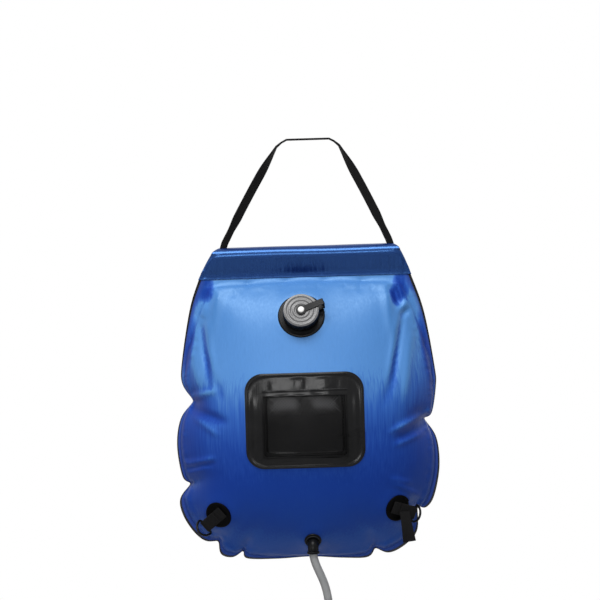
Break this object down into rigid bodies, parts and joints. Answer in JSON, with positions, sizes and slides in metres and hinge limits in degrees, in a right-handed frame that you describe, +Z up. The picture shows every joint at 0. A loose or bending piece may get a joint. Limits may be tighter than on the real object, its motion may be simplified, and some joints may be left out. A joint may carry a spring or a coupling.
{
  "type": "camp shower bag",
  "caption": "Filled blue camp shower bag on a black carrying strap, with a screw filler cap, a mesh pocket, D-rings, and a clear hose to a tap and shower head.",
  "frame": {"origin": "on the underside of the strap's grip, at the middle of the grip, where a hand or a hook bears", "axes": "+Z up along the hanging bag, -Y the way the bag's front faces, +X to the right for someone who looks at the front"},
  "size_m": [0.3829, 0.1908, 1.0718],
  "materials": {
    "blue_film": "glossy soft film",
    "black_film": "glossy soft film",
    "webbing": "woven webbing",
    "net": "open knitted net",
    "black_plastic": "moulded",
    "grey_plastic": "satin moulded",
    "white_plastic": "moulded",
    "clear_plastic": "clear soft tube",
    "rubber": "soft seal",
    "steel": "small screw"
  },
  "bodies": {
    "handle": {"handle_strap": "webbing"},
    "bag": {"strap_core": "webbing", "top_sleeve": "blue_film", "stiffener_tube": "white_plastic", "front_panel": "blue_film", "back_panel": "black_film", "filler_flange": "black_plastic", "filler_neck": "black_plastic", "pocket_backing": "black_film", "pocket_border": "black_film", "pocket_mesh": "net", "pocket_binding": "black_film", "left_anchor_patch": "black_film", "left_anchor_tab": "webbing", "right_anchor_patch": "black_film", "right_anchor_tab": "webbing", "right_strap_tail": "webbing", "outlet_flange": "black_plastic", "outlet_washer": "rubber", "outlet_spigot": "black_plastic", "outlet_elbow": "black_plastic", "hose_collar": "black_plastic", "hose": "clear_plastic", "tap_collar": "black_plastic", "tap_body": "black_plastic", "shower_head": "black_plastic", "rose_seal": "rubber", "rose_plate": "black_plastic"},
    "leash": {"cap_leash": "black_plastic"},
    "cap": {"filler_cap": "black_plastic", "cap_disc": "grey_plastic", "cap_pin": "white_plastic", "cap_gasket": "rubber"},
    "left_ring": {"left_d_ring": "black_plastic"},
    "right_ring": {"right_d_ring": "black_plastic"},
    "lever": {"tap_lever": "white_plastic", "tap_spindle": "white_plastic", "lever_screw": "steel"}
  },
  "joints": [
    {"name": "bag_swing", "type": "hinge", "parent": "handle", "child": "bag", "pos_m": [0, 0, -0.1471], "axis": [1, 0, 0], "range_deg": [-75, 75]},
    {"name": "cap_lift", "type": "slide", "parent": "bag", "child": "leash", "axis": [-0.0127, -0.9088, 0.4171], "range_m": [0, 0.009]},
    {"name": "cap_turn", "type": "hinge", "parent": "leash", "child": "cap", "pos_m": [-0.01691, -0.04374, -0.25567], "axis": [-0.0127, -0.9088, 0.4171], "range_deg": [0, 812]},
    {"name": "left_ring_swing", "type": "hinge", "parent": "bag", "child": "left_ring", "pos_m": [-0.16482, -0.0184, -0.5578], "axis": [0.6494, 0.0257, -0.76], "range_deg": [-60, 110]},
    {"name": "right_ring_swing", "type": "hinge", "parent": "bag", "child": "right_ring", "pos_m": [0.13809, -0.01695, -0.54722], "axis": [0.3623, -0.0899, 0.9277], "range_deg": [-8, 130]},
    {"name": "tap_turn", "type": "hinge", "parent": "bag", "child": "lever", "pos_m": [-0.00579, 0.03105, -1.01729], "axis": [0, -1, 0], "range_deg": [0, 90]}
  ],
  "couplings": [
    {"joint": "cap_turn", "follows": "cap_lift", "rad_per_m": 1570.8}
  ]
}
